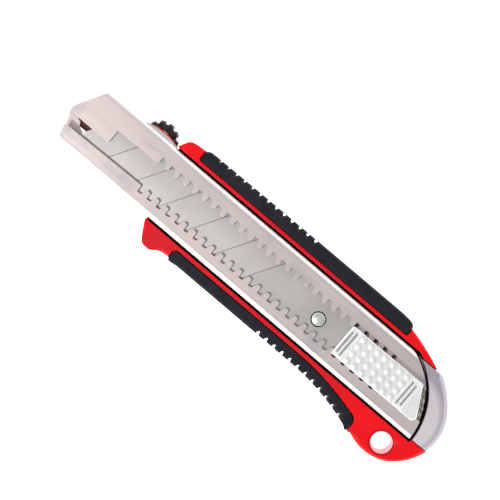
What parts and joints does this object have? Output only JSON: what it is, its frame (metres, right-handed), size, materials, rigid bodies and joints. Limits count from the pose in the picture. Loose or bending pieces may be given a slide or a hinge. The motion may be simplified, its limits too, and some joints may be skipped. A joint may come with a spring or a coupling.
{
  "type": "utility knife",
  "caption": "Snap-off utility knife with a pull-out steel guide, scored blade on a sprung slider, clamp wheel, rubber grips, lanyard hole and pull-off end cap.",
  "frame": {"origin": "centre of the knife's outline, on the flat back it rests on", "axes": "+X from the blade tip to the end cap, +Y towards the spine side, +Z out of the slider face"},
  "size_m": [0.1892, 0.0497, 0.0165],
  "materials": {
    "red_plastic": "semi-gloss moulded",
    "red_plastic_back": "semi-gloss moulded",
    "grip_rubber": "matt, moulded ribs",
    "guide_steel": "satin, brushed along its length",
    "blade_steel": "ground across the length",
    "carrier_steel": "satin",
    "zinc_steel": "zinc plated",
    "bright_steel": "polished",
    "dark_screw": "blackened",
    "spring_steel": "blued",
    "spring_wire": "drawn",
    "cover_metal": "bright satin plated",
    "brass": "turned",
    "black_plastic": "fine texture",
    "core_plastic": "plain",
    "cap_plastic": "satin silver",
    "cap_plastic_back": "satin silver"
  },
  "bodies": {
    "handle": {"handle_shell": "red_plastic", "back_cover": "red_plastic_back", "spine_grip": "grip_rubber", "edge_grip": "grip_rubber", "guide_screws": "zinc_steel", "guide_bushes": "brass", "guide_nuts": "zinc_steel", "body_screws": "dark_screw", "clamp_jaw": "bright_steel", "clamp_stud": "zinc_steel", "clamp_washer": "zinc_steel", "cap_clip": "spring_wire"},
    "guide": {"guide_channel": "guide_steel"},
    "slider": {"blade": "blade_steel", "blade_carrier": "carrier_steel", "blade_peg": "bright_steel", "slider_core": "core_plastic", "lock_leaf": "spring_steel", "core_rivets": "zinc_steel", "cover_posts": "zinc_steel", "cover_springs": "spring_wire"},
    "cover": {"slider_cover": "cover_metal"},
    "wheel": {"clamp_wheel": "black_plastic", "wheel_insert": "brass"},
    "cap": {"cap_front": "cap_plastic", "cap_back": "cap_plastic_back", "cap_screws": "dark_screw"}
  },
  "joints": [
    {"name": "guide_extend", "type": "slide", "parent": "handle", "child": "guide", "axis": [-1, 0, 0], "range_m": [0, 0.025]},
    {"name": "slider_travel", "type": "slide", "parent": "guide", "child": "slider", "axis": [-1, 0, 0], "range_m": [0, 0.092], "deforming": ["lock_leaf"]},
    {"name": "slider_press", "type": "slide", "parent": "slider", "child": "cover", "axis": [0, 0, -1], "range_m": [0, 0.0005], "stiffness_N_per_m": 1000, "springref_m": -0.0004, "deforming": ["cover_springs"]},
    {"name": "clamp_turn", "type": "hinge", "parent": "handle", "child": "wheel", "pos_m": [-0.061, 0.0153, 0], "axis": [0, 0, 1], "range_deg": [0, 270]},
    {"name": "cap_release", "type": "slide", "parent": "handle", "child": "cap", "axis": [1, 0, 0], "range_m": [0, 0.014], "deforming": ["cap_clip"]}
  ]
}
